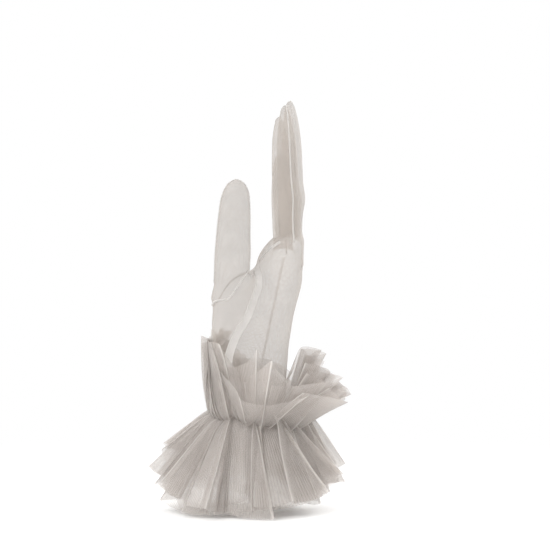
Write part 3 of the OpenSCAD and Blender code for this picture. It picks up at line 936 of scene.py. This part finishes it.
def half_ruffle(rng, pleats, radius, table, sign, crest, bunch=0.0):
    """One half of a strip, from the gathering thread to its cut edge: points, uv and fold marks.

    sign is 1 for the upper half and -1 for the lower, crest the angle that one pleat's crest stands at,
    and bunch how tightly the tuft at the back is drawn together. The draws stay in this order.
    """
    u = np.arange(pleats * STEPS + 1) / (pleats * STEPS)
    waist = 360 * u
    upper = sign > 0

    def vary(size, swings=pleats):
        return wander(rng, swings, u, size)

    # Where along the strip each pleat folds, and where it swings round to at the hem.
    flap = bell(waist, *FLAPS) * upper
    calm = 1 - FLAP_CALM * flap
    phase = 2 * math.pi * (pleats * (u - crest / 360) + 0.25 + vary(PHASE_VARY) * calm)
    swing, parting = SWING[sign]
    hem = waist + swing * np.sin(np.radians(2 * (waist - parting)))
    hem = hem + (vary(HEM_VARY) + vary(HEM_DRIFT, 9)) * calm
    in_tuft = bunch * bell(hem, *TUFT)
    hem = hem - (hem - TUFT[0]) * in_tuft
    knife = (vary(KNIFE_DRIFT, 7) + vary(KNIFE_VARY)) * calm
    # How each pleat leans, how long it is and how deep it folds.
    lean = table_at(table, hem, 1) + (vary(LEAN_VARY) + vary(LEAN_DRIFT, 7)) * calm
    length = table_at(table, hem, 2) * (1 + (vary(LENGTH_VARY) + vary(LENGTH_DRIFT, 8)) * calm)
    depth = 1 + vary(DEPTH_VARY)
    wave = np.arcsin(SHARP * np.sin(phase)) / math.asin(SHARP)
    length = length * (1 + (POINT + FLAP_POINT * flap) * wave * (1 + vary(POINT_VARY) * calm))
    bulk = 0.75 + 0.5 * np.cos(np.radians(waist - FULLEST))
    h = ROWS[:, None]
    distance = h * length

    def fade(reach):
        """1 at the gathers, less with the distance from them."""
        return np.exp(-distance / reach)

    # The strip's profile: out of the gathers, then round to its lean, with a curl up to the hem.
    hook = bell(waist, *HOOK_OVER) - 0.8 * bell(waist, *HOOK_UNDER)
    start = START_LEAN + HOOK_LEAN * sign * hook + vary(START_VARY, 2 * pleats)
    puff = fade((PUFF + vary(PUFF_VARY)) * (0.25 + 0.85 * bulk))
    curl = UPPER_CURL * np.cos(np.radians(waist)) - UPPER_CURL_IN if upper else -LOWER_CURL_IN
    crest_curl = (CREST_CURL - CREST_CURL * flap) * wave * h**2
    angle = np.radians(lean + (start - lean) * puff + curl * (h - 0.4) + crest_curl)
    run = np.diff(distance, axis=0, prepend=distance[:1] * 0)
    mid = (angle + np.roll(angle, 1, 0)) / 2
    mid[0] = angle[0]
    out = radius + np.cumsum(np.sin(mid) * run, axis=0)
    rise = np.cumsum(np.cos(mid) * run, axis=0)
    # The pleats stand off that profile, and bulge over the gathers.
    fullness = 1 + (bulk - 1) * fade(14)
    pressed = 1 - 0.5 * bell(waist, *PRESSED) * upper
    opening = PLEAT_DEPTH * fullness * (1 - fade(OPENS_OVER))
    stand = (WAIST_DEPTH + opening + HEM_DEPTH * h) * depth * pressed
    ripple = CRUMPLE * fade(12) * np.sin(3 * phase + 1) * np.clip(distance / 2, 0, 1)
    offset = stand * (wave + BULGE * bulk * fade(13)) + ripple
    out = out + offset * np.cos(angle)
    rise = rise - offset * np.sin(angle)
    # Folds lie over to one side, and the whole strip turns from its waist angle to its hem angle.
    pitch = 2 * math.pi * out / pleats
    aside = (1 - fade(5)) * (0.1 * pitch * np.sin(2 * phase) + knife * (1.5 + 2.4 * h) * wave)
    aside = aside * (1 - TUFT_CALM * in_tuft)
    turn = np.radians(waist + (hem - waist) * h**0.8) + aside / np.maximum(out, 5)
    height = sign * rise + waist_height(turn) * fade(25)
    points = np.stack([out * np.cos(turn), out * np.sin(turn), height], -1)
    uv = np.stack(np.broadcast_arrays(u * pleats * PLEAT_W, sign * distance), -1)
    # Fold marks along each crest: the net there is denser, and lighter by a painted highlight.
    crease = np.clip((np.abs(np.sin(phase)) - CREASE_FROM) / CREASE_WIDTH, 0, 1) ** 2
    fold = crease * np.clip(distance / 4, 0, 1)
    return points, uv, np.broadcast_to(fold, distance.shape)


NEAR_GLOVE = 48  # no part of the glove is farther out than this where the ruffle is
MOST_PUSH = 4


def push_out(points, gap, rounds):
    """Moves points that are in the glove, or nearer than gap, level out from it."""
    flat = points.reshape(-1, 3).copy()
    near = (flat[:, 2] > HAND_FOOT + 1) & (np.hypot(flat[:, 0], flat[:, 1]) < NEAR_GLOVE)
    close = flat[near]
    for _ in range(rounds):
        slope = gradient(close)
        slope[:, 2] = 0
        slope /= np.maximum(np.linalg.norm(slope, axis=1), 0.2)[:, None]
        close = close + slope * np.clip(gap - glove_field(close), 0, MOST_PUSH)[:, None]
    flat[near] = close
    return flat.reshape(points.shape)


def keep_off_hand(points, gap):
    """Lets the upper half lie on the glove and not in it, with no sharp step where it is pushed out."""
    push = push_out(points, gap, 6) - points
    push = smooth_rows(push.transpose(1, 0, 2), 5.0, wrap=True).transpose(1, 0, 2)
    return push_out(points + smooth_rows(push, 1.0), gap, 3)


def ruffle(layer, order, pleats, crest, bunch):
    """One strip of net, gathered along its middle, as a single sheet."""
    rng = np.random.default_rng(SEED + order)
    radius = WAIST_R - INNERMOST_IN + LAYER_STEP * order
    up, up_uv, up_fold = half_ruffle(rng, pleats, radius, UP[layer], 1, crest, bunch)
    down, down_uv, down_fold = half_ruffle(rng, pleats, radius, DOWN[layer], -1, crest)
    up = keep_off_hand(up, INNERMOST_GAP + LAYER_GAP * order)
    points = np.concatenate([down[:0:-1], up])
    uv = np.concatenate([down_uv[:0:-1], up_uv])
    fold = np.concatenate([down_fold[:0:-1], up_fold])
    faces = grid_faces(*points.shape[:2])
    name = f"ruffle_{layer}"
    marks = {"fold": fold.ravel()}
    flat_uv = uv.reshape(-1, 2)
    obj = add_mesh(name + "_net", points.reshape(-1, 3), faces, RUFFLE_NET, flat_uv, attributes=marks)
    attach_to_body(obj, "hand")
    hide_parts(name)
    return obj


# Each strip's number of pleats, the angle of a crest in front, and how tightly its tuft is bunched.
LAYERS = {"inner": (13, 274.5, 0.85), "middle": (14, 281, 0.7), "outer": (15, 268, 0)}
ruffles = [ruffle(layer, order, *pleating) for order, (layer, pleating) in enumerate(LAYERS.items())]

# ---- Wrist: casing, elastic and thread ---------------------------------------

_, casing_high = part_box("wrist_casing")
CASING_R = casing_high[0] / MM
CASING_H = casing_high[2] / MM
CASING_THICK = 1.5  # from its inner layer of net to its outer face
CASING_INSET, CASING_ROUND = 0.1, 0.5
RUCKS, RUCK_DEPTH = 44, 0.16
THREAD_INSET, THREAD_THICK = 0.3, 0.6
THREAD_DIPS, THREAD_DIP = 52, 0.25


def casing():
    """The net folded over the elastic: up the inside, over the top and down the outside, drawn in."""
    t = np.linspace(0, 2 * math.pi, 361)
    inner, outer = CASING_R - CASING_THICK, CASING_R - CASING_INSET
    bend_at = CASING_H - CASING_ROUND
    section = [(inner, -CASING_H), (inner, 0), (inner, bend_at), ((inner + outer) / 2, CASING_H)]
    section += [(outer, bend_at), (outer, 0), (outer, -CASING_H)]
    rows, uv, distance = [], [], 0
    for i, (radius, height) in enumerate(section):
        ruck = RUCK_DEPTH * np.sin(RUCKS * t + 0.6 * np.sin(5 * t) + height / 6)
        rows.append(np.c_[(radius + ruck) * np.cos(t), (radius + ruck) * np.sin(t), np.full(len(t), height)])
        distance += 0 if i == 0 else math.dist(section[i], section[i - 1])
        uv.append(np.c_[t * CASING_R, np.full(len(t), distance)])
    faces = grid_faces(len(section), len(t))
    obj = add_mesh("wrist_casing_net", np.vstack(rows), faces, SEAM_NET, uv=np.vstack(uv))
    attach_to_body(obj, "hand")
    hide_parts("wrist_casing")


casing()
elastic = frame["nodes"]["wrist_elastic"]
elastic.data.materials.clear()
elastic.data.materials.append(ELASTIC)


def gathering_thread():
    """One thread round the waist that dips between the gathers."""
    t = np.linspace(0, 2 * math.pi, 720, endpoint=False)
    radius = THREAD_R - THREAD_INSET + THREAD_DIP * np.sin(THREAD_DIPS * t + 0.8 * np.sin(3 * t))
    path = np.c_[radius * np.cos(t), radius * np.sin(t), waist_height(t) + 0.25 * np.sin(4 * t)]
    obj = cord_piece("gathering_thread_line", path, level(t), THREAD_THICK, THREAD_THICK, THREAD, closed=True)
    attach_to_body(obj, "hand")
    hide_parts("gathering_thread")


gathering_thread()

# ---- Floor, light and camera -------------------------------------------------

LOOK_AT = Vector((16.1, 0, 97.2)) * MM
VIEW_SIDE = 368.5 * MM  # the width of the picture at the glove's middle
DISTANCE = 1.1  # metres, as all lengths from here on
FLOOR_R = 0.55
PAPER_WHITE = (0.93, 0.93, 0.925, 1)
PAPER_FADE = (0.12, 0.5)  # the floor turns clear between these distances
floor_z = min(o.bound_box[0][2] for o in ruffles) - 0.5 * MM


def floor():
    """A pale disc that fades into the white background."""
    n = Nodes("floor")
    place = n.add("TexCoord").outputs["Object"]
    flat = n.add("VectorMath", {0: place, 1: (1, 1, 0)}, operation="MULTIPLY").outputs[0]
    away = n.add("VectorMath", {0: flat}, operation="LENGTH").outputs["Value"]
    paper = n.add("BsdfDiffuse", {"Color": PAPER_WHITE}).outputs[0]
    clear = n.add("BsdfTransparent").outputs[0]
    fading = n.ramp(away, *PAPER_FADE)
    material = n.finish(n.add("MixShader", {0: fading, 1: paper, 2: clear}).outputs[0])
    bpy.ops.mesh.primitive_circle_add(vertices=96, radius=FLOOR_R, fill_type="NGON", location=(0, 0, floor_z))
    obj = bpy.context.object
    obj.name = "floor"
    obj.data.materials.append(material)


def soft_light(name, place, size, power):
    """A square soft box that faces the glove."""
    light = bpy.data.lights.new(name, "AREA")
    light.energy, light.size = power, size
    obj = bpy.data.objects.new(name, light)
    obj.location = place
    obj.rotation_mode = "QUATERNION"
    obj.rotation_quaternion = (LOOK_AT - Vector(place)).to_track_quat("-Z", "Y")
    bpy.context.scene.collection.objects.link(obj)


def studio():
    """White surroundings and two soft lights."""
    world = bpy.data.worlds.new("studio")
    world.use_nodes = True
    background = world.node_tree.nodes["Background"]
    background.inputs["Color"].default_value = (1, 1, 1, 1)
    background.inputs["Strength"].default_value = 1.0
    bpy.context.scene.world = world
    soft_light("key", place=(-0.9, -1.3, 1.3), size=0.9, power=24)
    soft_light("rim", place=(0.9, 0.9, 0.7), size=0.7, power=16)


def camera():
    """Level with the glove's middle, on the thumb side, as in the photograph."""
    data = bpy.data.cameras.new("camera")
    data.sensor_width = 36
    data.lens = data.sensor_width * DISTANCE / VIEW_SIDE
    obj = bpy.data.objects.new("camera", data)
    obj.location = LOOK_AT - Vector((0, DISTANCE, 0))
    obj.rotation_euler = (math.pi / 2, 0, 0)
    bpy.context.scene.collection.objects.link(obj)
    bpy.context.scene.camera = obj


floor()
studio()
camera()
scene = bpy.context.scene
scene.view_settings.view_transform = "Standard"
scene.cycles.transparent_max_bounces = 48
